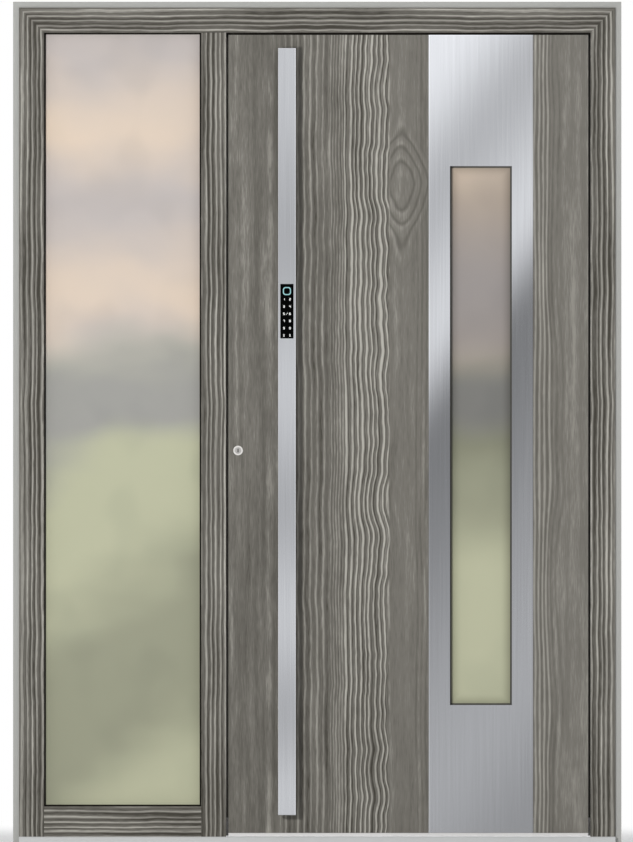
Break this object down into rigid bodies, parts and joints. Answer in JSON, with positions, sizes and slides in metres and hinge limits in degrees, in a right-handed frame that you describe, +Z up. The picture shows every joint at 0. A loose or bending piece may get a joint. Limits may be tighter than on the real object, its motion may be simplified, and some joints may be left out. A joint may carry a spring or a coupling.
{
  "type": "entrance door",
  "caption": "Flush entrance door with a wood-look leaf, a steel inlay with a narrow satin window, a full-height pull bar with a keypad, and a fixed satin-glass sidelight.",
  "frame": {"origin": "on the underside of the threshold, in the middle of the overall width and of the frame's depth", "axes": "+X to the right seen from the street, +Y into the house, +Z up"},
  "size_m": [1.613, 0.2208, 2.232],
  "materials": {
    "frame_wood": "satin grey-brown wood-look foil, grain upright",
    "frame_wood_level": "satin grey-brown wood-look foil, grain level",
    "leaf_wood": "satin grey-brown wood-look skin, grain upright",
    "trim_grey": "satin light grey",
    "threshold_alu": "satin anodised",
    "bright_alu": "bright anodised",
    "dark_profile": "matt black",
    "black_rubber": "matt",
    "black_plastic": "matt",
    "sidelight_glass": "satin, frosted",
    "window_glass": "satin, frosted",
    "inner_glass": "satin, frosted",
    "foam": "rigid insulating foam",
    "inlay_steel": "brushed, satin",
    "bar_steel": "brushed, satin",
    "lock_steel": "satin nickel",
    "keypad_black": "gloss black touch panel"
  },
  "bodies": {
    "frame": {"left_jamb": "frame_wood", "right_jamb": "frame_wood", "head": "frame_wood_level", "mullion_post": "frame_wood", "sidelight_bottom_rail": "frame_wood_level", "left_trim": "trim_grey", "right_trim": "trim_grey", "head_trim": "trim_grey", "threshold": "threshold_alu", "threshold_thermal_break": "black_plastic", "sidelight_outer_pane": "sidelight_glass", "sidelight_spacer": "dark_profile", "sidelight_inner_pane": "inner_glass", "sidelight_gaskets": "black_rubber", "sidelight_glazing_bead": "frame_wood", "frame_seal": "black_rubber", "strike_plate": "lock_steel", "frame_hinges": "lock_steel", "hinge_pins": "lock_steel"},
    "leaf": {"leaf_hinges": "lock_steel", "leaf_lock_stile": "dark_profile", "leaf_hinge_stile": "dark_profile", "leaf_top_rail": "dark_profile", "leaf_bottom_rail": "bright_alu", "leaf_core": "foam", "outer_panel_lock_side": "leaf_wood", "outer_panel_hinge_side": "leaf_wood", "outer_steel_inlay": "inlay_steel", "inner_panel_lock_side": "leaf_wood", "inner_panel_hinge_side": "leaf_wood", "inner_steel_inlay": "inlay_steel", "window_outer_pane": "window_glass", "window_spacer": "dark_profile", "window_inner_pane": "inner_glass", "window_gaskets": "black_rubber", "window_liners": "dark_profile", "outer_pull_bar": "bar_steel", "outer_pull_posts": "bar_steel", "keypad_module": "keypad_black", "inner_pull_bar": "bar_steel", "inner_pull_posts": "bar_steel", "lock_cylinder": "lock_steel", "cylinder_rosettes": "lock_steel", "lock_faceplate": "lock_steel"}
  },
  "joints": [
    {"name": "leaf_swing", "type": "hinge", "parent": "frame", "child": "leaf", "pos_m": [0.7375, 0.054, 1.075], "axis": [0, 0, -1], "range_deg": [0, 100]}
  ]
}
